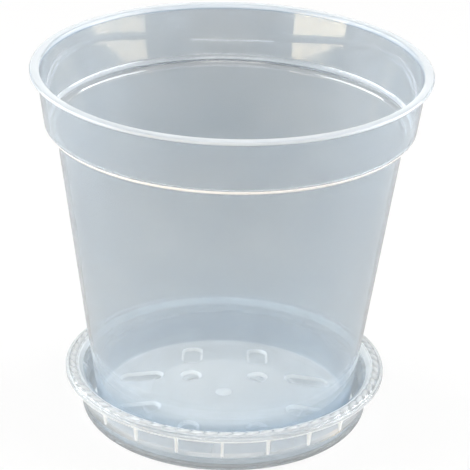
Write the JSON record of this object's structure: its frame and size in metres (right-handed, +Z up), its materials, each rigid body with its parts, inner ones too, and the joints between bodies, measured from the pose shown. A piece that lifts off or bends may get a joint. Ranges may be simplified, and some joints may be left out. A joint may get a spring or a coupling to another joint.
{
  "type": "orchid pot",
  "caption": "Translucent round plant pot with a stepped collar and a slotted drain floor, standing loose in a matching drip saucer with a twisted rope-edge rim.",
  "frame": {"origin": "centre of the saucer's underside, on the surface that the saucer stands on", "axes": "+Z up along the common axis of pot and saucer, towards the pot's open mouth; +Y away from the front of the picture's view"},
  "size_m": [0.15, 0.15, 0.1419],
  "materials": {
    "pot_polypropylene": "frosted-clear moulded polypropylene, satin",
    "saucer_polypropylene": "frosted-clear moulded polypropylene, satin"
  },
  "bodies": {
    "saucer": {"saucer": "saucer_polypropylene"},
    "pot": {"pot": "pot_polypropylene"}
  },
  "joints": [
    {"name": "pot_lift", "type": "slide", "parent": "saucer", "child": "pot", "axis": [0, 0, 1], "range_m": [0, 0.08]}
  ]
}
